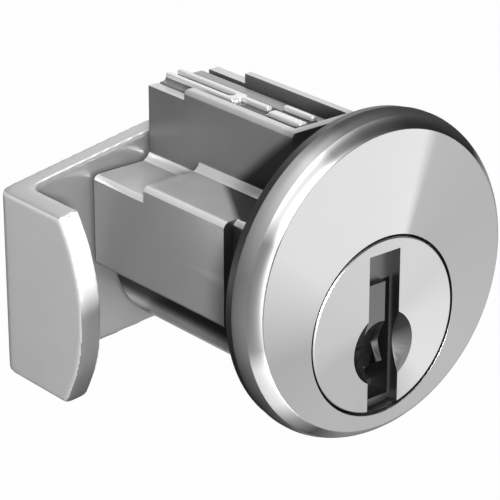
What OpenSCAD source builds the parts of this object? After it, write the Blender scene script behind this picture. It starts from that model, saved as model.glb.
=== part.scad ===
// Mailbox lock: a five-pin tumbler cylinder in a die-cast body, with a round face and a hook cam.
// All sizes are in millimetres. The plane y = 0 is the door's front, the lock's face looks along -Y,
// and the origin is the centre of the door hole. The key turns about a line below that centre.

/* [Face] */
// Diameter of the round face
face_d = 27; // [25:0.5:32]
// Diameter of the flat middle of the face, inside the bevel
face_flat_d = 24.8; // [22:0.2:25]
// Height of the face above the door
face_t = 3.2; // [2.8:0.1:4.5]
// Depth of the bevel, from the flat to the widest rim
bevel_depth = 1.9; // [1.4:0.1:2.1]
// Radius of the bevel's gentle bulge
bevel_r = 3; // [2.2:0.1:5]
// Wall of the pressed face cap
cap_wall = 0.5; // [0.3:0.05:0.7]
// Diameter of the lip that shows behind the cap
lip_d = 26.7; // [25.6:0.1:26.9]
// Thickness of that lip
lip_t = 0.8; // [0.5:0.05:1]

/* [Plug] */
// Drop of the plug's axis below the centre of the face
plug_drop = 3.7; // [3.2:0.1:4.2]
// Diameter of the plug's head, which shows in the face
head_d = 14.6; // [13:0.1:14.8]
// Length of the plug's head
head_len = 2.8; // [2.2:0.1:3]
// Diameter of the plug behind its head
plug_d = 12.2; // [11.6:0.1:12.4]
// Gap round the plug's head
head_gap = 0.2; // [0.1:0.05:0.3]
// Running gap between the plug and its bore
bore_gap = 0.05; // [0.03:0.01:0.08]
// Chamfer round the front of the plug
head_chamfer = 0.1; // [0.05:0.05:0.3]

/* [Keyway] */
// Width of the slot in the plug's head
slot_w = 3.2; // [2.8:0.1:3.6]
// Height of the slot's top above the plug's axis
slot_top = 6.2; // [5.4:0.1:6.4]
// Depth of the slot's wide mouth
mouth_depth = 1; // [0.8:0.1:1.8]
// Diameter of the countersink across the slot
recess_d = 6.2; // [5:0.1:6.6]
// Depth of the countersink at its middle
recess_depth = 1.5; // [1:0.1:2]
// Drop of the countersink below the plug's axis
recess_drop = 1.9; // [1.4:0.1:2.4]
// Setback of the ward's front behind the face
ward_setback = 0.5; // [0.3:0.1:0.9]
// Height of the ward's top above the plug's axis
ward_top = 3.5; // [3.2:0.1:4.3]
// Depth of the ward's foot below the plug's axis
ward_foot = 3.4; // [2.8:0.1:3.8]
// Width of the narrow part of the keyway, beside the ward
web_w = 0.9; // [0.8:0.05:1.2]
// Step in the slot's right wall behind the mouth
mouth_step = 0.15; // [0.1:0.05:0.3]

/* [Body] */
// Diameter of the round barrel
barrel_d = 15; // [14.4:0.1:15.6]
// Width across the two wings
wings_w = 19; // [18:0.1:20]
// Depth of the clip groove in each side
groove_depth = 1; // [0.6:0.1:1.3]
// Length of the neck between the face and the wings
neck_len = 4.9; // [4.5:0.1:5.5]
// Drop of the wings' underside below the face's centre
wing_drop = 4; // [3:0.1:4.3]
// Height of the wings' front shelf above the face's centre
shelf_top = 4.9; // [4.4:0.1:5.4]
// Drop of the rear shelf below the front one
shelf_step = 1; // [0.6:0.1:1.4]
// Distance of that step behind the door
step_at = 15; // [13.5:0.1:16.5]
// Rounding of the wings' top outer edges
wing_round = 0.6; // [0.3:0.05:0.9]
// Fillet between the wings and the pin tower
tower_fillet = 0.9; // [0.3:0.05:1.2]

/* [Pin tower] */
// Width of the tower
tower_w = 7.4; // [7:0.1:8]
// Height of the tower's top above the face's centre
tower_top = 11.2; // [10.9:0.1:11.5]
// Drop of the tower's top across the neck
neck_drop = 1.3; // [0.8:0.1:1.6]
// Width of each rail along the tower's top
rail_w = 1; // [0.7:0.05:1.2]
// Rounding of the rails' outer edges
rail_round = 0.45; // [0.2:0.05:0.6]
// Length at the tower's rear where the rails are cut down
rail_cut_len = 4.7; // [3:0.1:5]
// Depth of that cut
rail_cut = 0.85; // [0.4:0.05:0.9]
// Depth of the trough that holds the cover
trough_depth = 1.6; // [1.4:0.05:1.8]
// Wall in front of the trough
trough_wall = 0.8; // [0.5:0.05:1]

/* [Tumbler cover] */
// Gap round the cover
cover_gap = 0.03; // [0.02:0.01:0.08]
// Thickness of the cover's plate
cover_t = 0.9; // [0.7:0.05:1]
// Width of each raised rib on the cover
rib_w = 0.6; // [0.4:0.05:0.7]
// Height of the ribs above the plate
rib_h = 0.6; // [0.4:0.05:0.65]
// Length of the two prongs of the forked rib
prong_len = 8.1; // [6:0.1:9]
// Length of the fork's stem
stem_len = 3.9; // [3:0.1:4.5]
// Spacing of the two prongs
prong_gap = 1.2; // [1:0.05:1.4]
// Distance of the rib pair's middle from the tower's left side
fork_at = 2.6; // [2.4:0.05:2.8]
// Distance of the cover's short slit from the tower's left side
slit_at = 3.85; // [3.8:0.05:4.2]
// Width of that slit
cover_slit_w = 0.2; // [0.15:0.05:0.25]
// Depth of the slit
cover_slit = 0.3; // [0.2:0.05:0.5]
// Width of the groove along the cover's right edge
edge_groove_w = 0.7; // [0.4:0.05:0.8]
// Depth of that groove
edge_groove = 0.5; // [0.3:0.05:0.6]

/* [Pins] */
// Diameter of the pins
pin_d = 2.7; // [2.5:0.05:2.9]
// Running gap round the pins
pin_gap = 0.06; // [0.03:0.01:0.09]
// Distance from the door to the first pin
first_pin = 5.4; // [5.2:0.1:6.4]
// Spacing of the pins
pin_pitch = 3.2; // [3.1:0.05:3.6]
// Wall of the tower in front of the first pin's chamber
front_wall = 0.4; // [0.3:0.05:0.6]
// Length of the body behind the last pin's chamber
rear_room = 2; // [1.4:0.1:4]
// Length of the driver pins
driver_len = 3.4; // [3:0.1:3.6]
// Length of the shortest key pin
key_pin_min = 3.8; // [3.5:0.1:4]
// Step in length between one key pin size and the next
cut_step = 0.4; // [0.3:0.05:0.45]
// Depth of the pin chambers below the plug's axis
chamber_floor = 1.6; // [1.5:0.1:2]

/* [Springs] */
// Diameter of the spring wire
wire_d = 0.3; // [0.25:0.01:0.34]
// Outer diameter of the springs
spring_d = 2.4; // [2.2:0.05:2.5]
// Turns of each spring
spring_turns = 4; // [3:0.5:4]

/* [Tail] */
// Thickness of the stop washer
stop_t = 1.2; // [1:0.05:1.4]
// Gap between the stop washer and the bore
stop_gap = 0.1; // [0.05:0.01:0.2]
// Angle that the stop lug covers
lug_angle = 24; // [16:1:30]
// Height of the stop lug, from the bore inwards
lug_h = 1.5; // [1:0.1:1.7]
// Angle that the key turns
turn_angle = 90; // [90]
// Width across the flats of the square tail
tail_w = 5.5; // [5.2:0.1:5.8]
// Diameter across the tail's rounded corners
tail_d = 7; // [6.4:0.1:7.2]
// Diameter of the threaded stud
stud_d = 5; // [4.8:0.1:5]
// Pitch of the stud's thread
thread_pitch = 0.8; // [0.7:0.05:0.9]
// Length of the stud past the nut
stud_end = 0.8; // [0.4:0.1:1.6]
// Gap between the square tail and the holes that it drives
drive_gap = 0.05; // [0.03:0.01:0.1]

/* [Hook cam] */
// Thickness of the cam plate
cam_t = 2; // [1.5:0.05:2.2]
// Gap between the cam and the body
cam_gap = 0.35; // [0.2:0.05:0.4]
// Reach of the hook from the plug's axis
hook_reach = 17.4; // [16:0.1:18]
// Height of the hook's top above the plug's axis
hook_top = 7.7; // [7:0.1:8.4]
// Depth of the hook's foot below the plug's axis
hook_foot = 8.4; // [7.2:0.1:8.8]
// Length of the hook's flange at its middle
hook_len = 11.1; // [9:0.1:11.4]
// Bulge of the flange's curved front edge
hook_bulge = 2.6; // [1.8:0.1:3.2]
// Inside radius of the bend
bend_r = 1; // [0.6:0.1:1.8]
// Outside radius of the bend, which the press coins tighter than the plate's thickness asks
bend_outer_r = 1; // [0.6:0.1:3]
// Radius of the cam's round hub end
hub_r = 8.6; // [8.2:0.1:9.4]
// Height of the hub's centre above the plug's axis
hub_rise = 1.6; // [1:0.1:2]
// Distance of the hub's centre from the plug's axis, towards the hook
hub_shift = 1.5; // [1:0.1:2.5]

/* [Nut and washer] */
// Thickness of the lock washer
washer_t = 1.1; // [0.9:0.05:1.3]
// Outer diameter of the lock washer
washer_d = 8.6; // [8:0.1:9.2]
// Width of the slit in the lock washer
slit_w = 0.8; // [0.5:0.1:1.2]
// Width across the flats of the nut
nut_af = 8; // [7.8:0.1:9]
// Thickness of the nut
nut_t = 3.2; // [2.7:0.1:4]
// Gap between the stud and the pieces on it
thread_gap = 0.05; // [0.03:0.01:0.1]

/* [Hidden] */

$fn = 96;
pin_count = 5;
// The size number of each key pin, which is the depth of its cut in the key
key_cuts = [1, 3, 0, 2, 4];

// Small amounts that cuts run past a face
over = 0.5;
// Chamfers of the small turned pieces
small_chamfer = 0.3;
// Rounding of the lower edges of the wings
foot_round = 0.3;
// The square tail stops this far short of the cam's rear face
tail_short = 0.2;

face_r = face_d / 2;
face_flat_r = face_flat_d / 2;
lip_r = lip_d / 2;
head_r = head_d / 2;
plug_r = plug_d / 2;
bore_r = plug_r + bore_gap;
barrel_r = barrel_d / 2;
shear_z = bore_r;

// The bevel is an arc from the flat's edge to the widest rim
bevel_a = [face_flat_r, -face_t];
bevel_b = [face_r, bevel_depth - face_t];
bevel_half = norm(bevel_b - bevel_a) / 2;
bevel_back = sqrt(bevel_r * bevel_r - bevel_half * bevel_half);
bevel_dir = (bevel_b - bevel_a) / (2 * bevel_half);
bevel_mid = (bevel_a + bevel_b) / 2;
bevel_c = bevel_mid + bevel_back * [-bevel_dir[1], bevel_dir[0]];

// Places along Y. The body is as long as its row of pins needs
chamber_r = pin_d / 2 + pin_gap;
tower_front = first_pin - chamber_r - front_wall;
keyway_back = first_pin + (pin_count - 1) * pin_pitch + chamber_r;
body_len = keyway_back + rear_room;
head_back = head_len - face_t;
counterbore_back = head_back + bore_gap;
cam_front = body_len + cam_gap;
plug_back = cam_front - stop_t;
cam_back = cam_front + cam_t;
tail_back = cam_back - tail_short;
washer_back = cam_back + washer_t;
nut_back = washer_back + nut_t;
stud_back = nut_back + stud_end;
hook_front = cam_back - hook_len;

// Heights of the tower, from the face's centre
trough_floor = tower_top - trough_depth;
trough_w = tower_w - 2 * rail_w;
trough_front = tower_front + trough_wall;
plate_top = trough_floor + cover_t;
shear_gap = 0.02;
driver_bottom = shear_z + shear_gap - plug_drop;
driver_top = driver_bottom + driver_len;
spring_foot = driver_top + shear_gap;
spring_len = trough_floor - spring_foot;

// The flange's curved edge is an arc through its two corners and its middle
hook_h = hook_top + hook_foot;
hook_mid = (hook_top - hook_foot) / 2;
hook_arc_r = (hook_h * hook_h / 4 + hook_bulge * hook_bulge) / (2 * hook_bulge);

// Where a straight edge from a corner of the hook touches the round hub
hub_c = [-hub_shift, hub_rise];
function hub_touch(corner, side) =
    let (
        d = corner - hub_c,
        angle = atan2(d[1], d[0]) + side * acos(hub_r / norm(d))
    )
    hub_c + hub_r * [cos(angle), sin(angle)];

// The key pins' feet, from the plug's axis, and the lift that takes a crown to the shear line
key_pin_foot = pin_gap - chamber_floor;
function key_pin_lift(i) = plug_r - shear_gap - key_pin_foot - key_pin_len(i);

// The stud's thread is a row of grooves
thread_depth = 0.3;
thread_turns = floor((stud_back - washer_back) / thread_pitch);

// The springs' wire is a six-sided tube with eight rings a turn
rings_per_turn = 8;
wire_sides = 6;
spring_steps = floor(spring_turns * rings_per_turn);
coil_r = (spring_d - wire_d) / 2;
coil_rise = spring_len - wire_d;

function pin_y(i) = first_pin + i * pin_pitch;
function key_pin_len(i) = key_pin_min + cut_step * key_cuts[i];

// An outline in X and Z, made solid from y0 to y1
module along_y(y0, y1) {
    translate([0, y1, 0])
        rotate([90, 0, 0])
            linear_extrude(height = y1 - y0)
                children();
}

// An outline of radius and Y, turned about the Y axis
module turned() {
    rotate([-90, 0, 0])
        rotate_extrude()
            children();
}

// Moves children from the face's centre to the plug's axis
module at_plug() {
    translate([0, 0, -plug_drop])
        children();
}

module rod_y(r, y0, y1) {
    translate([0, y0, 0])
        rotate([-90, 0, 0])
            cylinder(r = r, h = y1 - y0);
}

module rounded_box(x0, x1, y0, y1, r) {
    translate([x0 + r, y0])
        square([x1 - x0 - 2 * r, y1 - y0]);
    translate([x0, y0 + r])
        square([x1 - x0, y1 - y0 - 2 * r]);
    for (x = [x0 + r, x1 - r], y = [y0 + r, y1 - r])
        translate([x, y])
            circle(r);
}

// The part of the plane between two angles, out to a distance
module wedge(from, to, reach) {
    mid = (from + to) / 2;
    polygon([
        [0, 0],
        reach * [cos(from), sin(from)],
        reach * 2 * [cos(mid), sin(mid)],
        reach * [cos(to), sin(to)]
    ]);
}

// The face's outline in radius and Y, set in from the outside by a wall
module face_outline(inset) {
    intersection() {
        translate([0, inset - face_t])
            square([face_r - inset, face_t - inset - lip_t]);
        union() {
            translate(bevel_c)
                circle(bevel_r - inset);
            translate([0, -face_t])
                square([bevel_c[0], face_t]);
            translate([0, bevel_c[1]])
                square([face_r, face_t]);
        }
    }
}

module face_cap() {
    color([0.83, 0.83, 0.84])
        difference() {
            turned()
                difference() {
                    face_outline(0);
                    face_outline(cap_wall);
                }
            at_plug()
                rod_y(head_r + head_gap, -face_t - over, 0);
        }
}

// The two wings and what lies between them, to the given half width and height
module wings_outline(half_w, top) {
    corner = min(wing_round, top / 2);
    difference() {
        rounded_box(-half_w, half_w, -wing_drop, top, foot_round);
        for (side = [-1, 1])
            translate([side * half_w, top])
                mirror([side > 0 ? 0 : 1, 0])
                    translate([-corner, -corner])
                        difference() {
                            square(corner + over);
                            circle(corner);
                        }
    }
}

// The concave corner between a shelf of the given height and the tower's sides
module tower_fillets(top) {
    for (side = [0, 1])
        mirror([side, 0])
            translate([tower_w / 2, top])
                difference() {
                    translate([-foot_round, -foot_round])
                        square(tower_fillet + foot_round);
                    translate([tower_fillet, tower_fillet])
                        circle(tower_fillet);
                }
}

module tower_outline(top) {
    rounded_box(-tower_w / 2, tower_w / 2, -plug_drop, top, rail_round);
}

module housing_solid() {
    turned()
        face_outline(cap_wall);
    rod_y(lip_r, -lip_t, 0);
    at_plug()
        rod_y(barrel_r, 0, body_len);
    along_y(0, neck_len)
        wings_outline(wings_w / 2 - groove_depth, shelf_top);
    along_y(neck_len, step_at)
        wings_outline(wings_w / 2, shelf_top);
    along_y(step_at, body_len)
        wings_outline(wings_w / 2, shelf_top - shelf_step);
    along_y(0, tower_front)
        tower_outline(tower_top - neck_drop);
    along_y(tower_front, body_len)
        tower_outline(tower_top);
    along_y(0, step_at)
        tower_fillets(shelf_top);
    along_y(step_at, body_len)
        tower_fillets(shelf_top - shelf_step);
}

// The lug at the bottom of the bore's rear end, which stops the washer
module stop_lug() {
    at_plug()
        along_y(plug_back + stop_gap, body_len)
            intersection() {
                difference() {
                    circle(barrel_r - over);
                    circle(bore_r - lug_h);
                }
                wedge(270 - lug_angle / 2, 270 + lug_angle / 2, barrel_r);
            }
}

module housing() {
    color([0.55, 0.56, 0.57]) {
        difference() {
            housing_solid();
            at_plug() {
                rod_y(head_r + head_gap, -face_t, counterbore_back);
                rod_y(bore_r, -face_t, body_len + over);
            }
            for (i = [0 : pin_count - 1])
                translate([0, pin_y(i), -plug_drop])
                    cylinder(r = chamber_r, h = trough_floor + plug_drop + over);
            translate([-trough_w / 2, trough_front, trough_floor])
                cube([trough_w, body_len, trough_depth + over]);
            for (side = [0, 1])
                mirror([side, 0, 0])
                    translate([trough_w / 2, body_len - rail_cut_len, tower_top - rail_cut])
                        cube([rail_w + over, rail_cut_len + over, rail_cut + over]);
        }
        stop_lug();
    }
}

// The forked rib and the two pads, as they lie on the cover seen from above
module cover_ribs() {
    left = fork_at - tower_w / 2;
    rear = body_len - cover_gap;
    fork_y = rear - prong_len;
    stem_y = fork_y - stem_len;
    pad_front = trough_front + rib_w;
    for (side = [-1, 1])
        translate([left + side * prong_gap / 2 - rib_w / 2, fork_y])
            square([rib_w, prong_len]);
    difference() {
        translate([left - prong_gap / 2 - rib_w / 2, fork_y - rib_w])
            square([prong_gap + rib_w, 2 * rib_w]);
        translate([left, fork_y + rib_w])
            circle((prong_gap - rib_w) / 2);
    }
    translate([left, stem_y])
        square([rib_w, stem_len]);
    rounded_box(left - rib_w, left + rib_w / 2, pad_front, stem_y - rib_w, rib_w / 4);
    rounded_box(left + 2 * rib_w, left + 3 * rib_w, pad_front + rib_w, stem_y - rib_w / 2, rib_w / 4);
}

module tumbler_cover() {
    half_w = trough_w / 2 - cover_gap;
    front = trough_front + cover_gap;
    len = body_len - cover_gap - front;
    color([0.62, 0.62, 0.63]) {
        difference() {
            translate([-half_w, front, trough_floor])
                cube([2 * half_w, len, cover_t]);
            translate([half_w - edge_groove_w, front - over, plate_top - edge_groove])
                cube([edge_groove_w + over, len + 2 * over, edge_groove + over]);
            translate([slit_at - tower_w / 2, front + len - prong_len - stem_len, plate_top - cover_slit])
                cube([cover_slit_w, stem_len, cover_slit + over]);
        }
        translate([0, 0, plate_top - small_chamfer])
            linear_extrude(height = rib_h + small_chamfer)
                cover_ribs();
    }
}

// The outline of the keyway behind the mouth, seen from the front
module keyway_outline() {
    right = slot_w / 2 - mouth_step;
    translate([right - web_w, -plug_r - over])
        square([web_w, ward_top + plug_r + over]);
    translate([-slot_w / 2, -plug_r - over])
        square([slot_w / 2 + right, plug_r + over - ward_foot]);
}

module plug_solid() {
    turned()
        polygon([
            [0, -face_t],
            [head_r - head_chamfer, -face_t],
            [head_r, -face_t + head_chamfer],
            [head_r, head_back],
            [plug_r, head_back],
            [plug_r, plug_back],
            [0, plug_back]
        ]);
    along_y(plug_back - over, tail_back)
        tail_outline(0);
    turned()
        polygon(concat(
            [[0, plug_back - over], [stud_d / 2, plug_back - over], [stud_d / 2, washer_back - thread_pitch]],
            [for (i = [0 : thread_turns - 1], k = [0, 1])
                [stud_d / 2 - (1 - k) * thread_depth, washer_back + (i + k / 2) * thread_pitch]],
            [[stud_d / 2 - thread_depth, stud_back], [0, stud_back]]
        ));
}

// The square tail with its rounded corners, grown by a gap
module tail_outline(gap) {
    intersection() {
        square(tail_w + 2 * gap, center = true);
        circle(tail_d / 2 + gap);
    }
}

// The cone that guides the key's tip into the slot
module countersink() {
    turned()
        polygon([
            [0, -face_t - over],
            [recess_d / 2, -face_t - over],
            [recess_d / 2, -face_t],
            [0, recess_depth - face_t]
        ]);
}

module plug() {
    mouth_back = mouth_depth - face_t;
    ward_right = slot_w / 2 - mouth_step - web_w;
    color([0.8, 0.8, 0.81])
        at_plug()
            difference() {
                plug_solid();
                difference() {
                    along_y(-face_t - over, mouth_back)
                        translate([-slot_w / 2, -head_r - over])
                            square([slot_w, slot_top + head_r + over]);
                    along_y(ward_setback - face_t, mouth_back + over)
                        translate([-slot_w / 2, -ward_foot])
                            square([slot_w / 2 + ward_right, ward_top + ward_foot]);
                }
                translate([0, 0, -recess_drop])
                    countersink();
                along_y(mouth_back - over, keyway_back)
                    intersection() {
                        keyway_outline();
                        circle(head_r + over);
                    }
                for (i = [0 : pin_count - 1])
                    translate([0, pin_y(i), -chamber_floor])
                        cylinder(r = chamber_r, h = plug_r + chamber_floor + over);
            }
}

module stop_washer() {
    lug_clear = asin(stop_gap / (bore_r - lug_h)) + lug_angle / 2;
    color([0.66, 0.66, 0.65])
        at_plug()
            along_y(plug_back, cam_front)
                difference() {
                    circle(bore_r - stop_gap);
                    tail_outline(drive_gap);
                    difference() {
                        wedge(270 - turn_angle - lug_clear, 270 + lug_clear, barrel_r);
                        circle(bore_r - lug_h - stop_gap);
                    }
                }
}

// The ground behind and beside the hook's corner, from above, with the corner rounded
module hook_corner(left, back, r) {
    front = hook_front - over;
    right = 2 * hub_r;
    translate([left + r, front])
        square([right - left - r, back - front]);
    translate([left, front])
        square([right - left, back - front - r]);
    translate([left + r, back - r])
        circle(r);
}

// The bent strip of the hook, seen from above
module hook_section() {
    difference() {
        hook_corner(-hook_reach, cam_back, bend_outer_r);
        hook_corner(cam_t - hook_reach, cam_front, bend_r);
    }
}

// The cam seen from the front: a tapered plate with a round hub end
module cam_outline() {
    upper = [-hook_reach, hook_top];
    lower = [-hook_reach, -hook_foot];
    translate(hub_c)
        circle(hub_r);
    polygon([upper, lower, hub_touch(lower, 1), hub_c, hub_touch(upper, -1)]);
}

// The hook seen from the side, with Y to the right: its front edge is an arc
module flange_outline() {
    translate([hook_front + hook_arc_r, hook_mid])
        circle(hook_arc_r);
    translate([hook_front + hook_bulge, -2 * hub_r])
        square([2 * hook_len, 4 * hub_r]);
}

module hook_cam() {
    color([0.7, 0.7, 0.71])
        at_plug()
            difference() {
                intersection() {
                    translate([0, 0, -2 * hub_r])
                        linear_extrude(height = 4 * hub_r)
                            hook_section();
                    along_y(hook_front - over, cam_back + over)
                        cam_outline();
                    translate([-2 * hook_reach, 0, 0])
                        rotate([90, 0, 90])
                            linear_extrude(height = 4 * hook_reach)
                                flange_outline();
                }
                along_y(cam_front - over, cam_back + over)
                    tail_outline(drive_gap);
            }
}

module lock_washer() {
    color([0.6, 0.6, 0.6])
        at_plug()
            along_y(cam_back, washer_back)
                difference() {
                    circle(washer_d / 2);
                    circle(stud_d / 2 + thread_gap);
                    translate([-slit_w / 2, 0])
                        square([slit_w, washer_d]);
                }
}

module cam_nut() {
    corner_r = nut_af / sqrt(3);
    color([0.72, 0.7, 0.62])
        at_plug()
            difference() {
                intersection() {
                    along_y(washer_back, nut_back)
                        circle(corner_r, $fn = 6);
                    turned()
                        polygon([
                            [0, washer_back],
                            [nut_af / 2, washer_back],
                            [corner_r, washer_back + small_chamfer],
                            [corner_r, nut_back - small_chamfer],
                            [nut_af / 2, nut_back],
                            [0, nut_back]
                        ]);
                }
                rod_y(stud_d / 2 + thread_gap, washer_back - over, nut_back + over);
            }
}

// Pin i stands in its chamber, its flat foot just above the shear line
module driver_pin(i) {
    r = pin_d / 2;
    color([0.78, 0.68, 0.42])
        translate([0, pin_y(i), driver_bottom])
            rotate_extrude()
                polygon([
                    [0, 0],
                    [r - small_chamfer, 0],
                    [r, small_chamfer],
                    [r, driver_len - small_chamfer],
                    [r - small_chamfer, driver_len],
                    [0, driver_len]
                ]);
}

// A key pin stands on its chamber's floor. Its foot is a cone, and its crown follows the plug's
// curve, which it meets when the right key lifts it
module key_pin(i) {
    r = pin_d / 2;
    len = key_pin_len(i);
    color([0.78, 0.68, 0.42])
        at_plug()
            translate([0, pin_y(i), key_pin_foot])
                intersection() {
                    rotate_extrude()
                        polygon([
                            [0, 0],
                            [small_chamfer, 0],
                            [r, r - small_chamfer],
                            [r, len],
                            [0, len]
                        ]);
                    translate([0, 0, len - plug_r])
                        rod_y(plug_r, -pin_d, pin_d);
                }
}

// A point of the spring's centre line, above its foot
function coil_point(s) = [
    coil_r * cos(360 * s / rings_per_turn),
    coil_r * sin(360 * s / rings_per_turn),
    wire_d / 2 + coil_rise * s / spring_steps
];
function coil_ring(s) = [
    for (k = [0 : wire_sides - 1])
        let (
            turn = 360 * s / rings_per_turn,
            side = 360 * k / wire_sides,
            out = [cos(turn), sin(turn), 0],
            p = coil_point(s)
        )
        p + wire_d / 2 * (cos(side) * out + sin(side) * [0, 0, 1])
];

// The least gap between one turn of the spring and the next, measured on its points
spring_gap = min([
    for (a = [0 : spring_steps], b = [a + rings_per_turn / 2 : 1 : spring_steps])
        norm(coil_point(a) - coil_point(b))
]) - wire_d;
echo(least_spring_gap_mm = spring_gap);
echo(key_pin_lifts_mm = [for (i = [0 : pin_count - 1]) key_pin_lift(i)]);

module driver_spring(i) {
    points = [for (s = [0 : spring_steps]) each coil_ring(s)];
    last = spring_steps * wire_sides;
    sides = [
        for (s = [0 : spring_steps - 1], k = [0 : wire_sides - 1])
            let (
                n = (k + 1) % wire_sides,
                a = s * wire_sides + k,
                b = s * wire_sides + n,
                c = a + wire_sides,
                d = b + wire_sides
            )
            each [[a, b, c], [b, d, c]]
    ];
    start_cap = [for (k = [1 : wire_sides - 2]) [0, k + 1, k]];
    end_cap = [for (k = [1 : wire_sides - 2]) [last, last + k, last + k + 1]];
    color([0.75, 0.75, 0.76])
        translate([0, pin_y(i), spring_foot])
            polyhedron(points = points, faces = concat(sides, start_cap, end_cap));
}

housing();
face_cap();
tumbler_cover();
plug();
stop_washer();
hook_cam();
lock_washer();
cam_nut();
driver_pin(0);  // driver_pin_1
driver_pin(1);  // driver_pin_2
driver_pin(2);  // driver_pin_3
driver_pin(3);  // driver_pin_4
driver_pin(4);  // driver_pin_5
driver_spring(0);  // driver_spring_1
driver_spring(1);  // driver_spring_2
driver_spring(2);  // driver_spring_3
driver_spring(3);  // driver_spring_4
driver_spring(4);  // driver_spring_5
key_pin(0);  // key_pin_1
key_pin(1);  // key_pin_2
key_pin(2);  // key_pin_3
key_pin(3);  // key_pin_4
key_pin(4);  // key_pin_5
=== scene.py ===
"""Dresses the mailbox lock: its rounded pieces, their finishes, the studio and the camera.

Every length written in millimetres ends in _mm. Blender's own units are metres, in the lock's
frame: +Y runs back through the door along the lock's axis and +Z is up, towards the pin tower.
"""

import logging
import math
from dataclasses import dataclass, replace
from enum import Enum
from typing import Any

import bmesh
import bpy
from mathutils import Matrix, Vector


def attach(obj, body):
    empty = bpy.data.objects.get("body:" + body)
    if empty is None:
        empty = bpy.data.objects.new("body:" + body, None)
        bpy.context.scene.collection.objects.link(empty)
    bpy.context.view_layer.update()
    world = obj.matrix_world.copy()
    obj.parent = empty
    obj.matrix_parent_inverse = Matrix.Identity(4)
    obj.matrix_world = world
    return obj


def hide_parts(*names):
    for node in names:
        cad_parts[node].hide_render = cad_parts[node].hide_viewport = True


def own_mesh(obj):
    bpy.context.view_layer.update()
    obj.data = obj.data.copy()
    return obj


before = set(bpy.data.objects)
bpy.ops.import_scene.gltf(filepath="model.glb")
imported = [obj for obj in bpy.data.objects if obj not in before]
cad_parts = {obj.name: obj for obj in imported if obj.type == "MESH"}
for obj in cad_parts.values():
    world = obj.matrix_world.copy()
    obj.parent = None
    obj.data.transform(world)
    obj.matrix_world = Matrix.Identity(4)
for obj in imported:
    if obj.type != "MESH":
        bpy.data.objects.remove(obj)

log = logging.getLogger("mailbox_lock")

MM = 0.001

# Further from the lock's origin than any of its faces
FAR_MM = 100.0

# Drop of the plug's axis below the face's centre, and of the countersink below that axis
PLUG_DROP_MM = 3.7
SINK_DROP_MM = 1.9

Place = tuple[float, float, float]
Colour = tuple[float, float, float]
Stops = tuple[tuple[float, float], ...]
Socket = bpy.types.NodeSocket


class Body(Enum):
    """The bodies of the lock that the dressed pieces ride on."""

    LOCK = "lock_body"
    PLUG = "plug_group"


def grey(value: float) -> Colour:
    """A neutral colour of the given linear value."""
    return (value, value, value)


def opaque(colour: Colour) -> tuple[float, float, float, float]:
    """A colour with its alpha, as a colour socket takes it."""
    return (*colour, 1.0)


def add_object(name: str, data: bpy.types.ID) -> bpy.types.Object:
    """Makes an object and links it to the scene.

    Args:
        name: Its name.
        data: Its mesh, lamp or camera.

    Returns:
        The new object.
    """
    made = bpy.data.objects.new(name, data)
    bpy.context.scene.collection.objects.link(made)
    return made


def aim(thing: bpy.types.Object, way: Vector, axis: str) -> None:
    """Turns an object so that its given axis points a given way."""
    thing.rotation_mode = "QUATERNION"
    thing.rotation_quaternion = way.to_track_quat(axis, "Y")


class NodeBoard:
    """The nodes of one material or world."""

    def __init__(self, owner: bpy.types.Material | bpy.types.World) -> None:
        """Takes up an owner's nodes.

        Args:
            owner: The material or world.
        """
        owner.use_nodes = True
        self.nodes = owner.node_tree.nodes
        self.links = owner.node_tree.links

    def add(
        self, kind: str, inputs: dict[str | int, Any] | None = None, **settings: str | int
    ) -> bpy.types.Node:
        """Adds a node.

        Args:
            kind: Its type, without the word ShaderNode.
            inputs: For each input, the socket that feeds it or the value that it holds.
            settings: The node's other settings.

        Returns:
            The new node.
        """
        node = self.nodes.new(f"ShaderNode{kind}")
        for name, value in settings.items():
            setattr(node, name, value)
        self.feed(node, inputs or {})
        return node

    def feed(self, node: bpy.types.Node, inputs: dict[str | int, Any]) -> None:
        """Gives a node's inputs their values.

        Args:
            node: The node.
            inputs: For each input, the socket that feeds it or the value that it holds.
        """
        for name, value in inputs.items():
            if isinstance(value, Socket):
                self.links.new(value, node.inputs[name])
            else:
                node.inputs[name].default_value = value

    def multiply(self, colour: Socket, tint: Socket) -> Socket:
        """Multiplies a colour by a tint."""
        both = {"Factor": 1.0, "A": colour, "B": tint}
        return self.add("Mix", both, data_type="RGBA", blend_type="MULTIPLY").outputs["Result"]

    def show_mix(self, share: Socket, first: Socket, second: Socket) -> None:
        """Makes the surface a mix of two shaders, where share is that of the second."""
        mix = self.add("MixShader", {"Fac": share, 1: first, 2: second})
        self.feed(self.nodes["Material Output"], {"Surface": mix.outputs["Shader"]})


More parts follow.
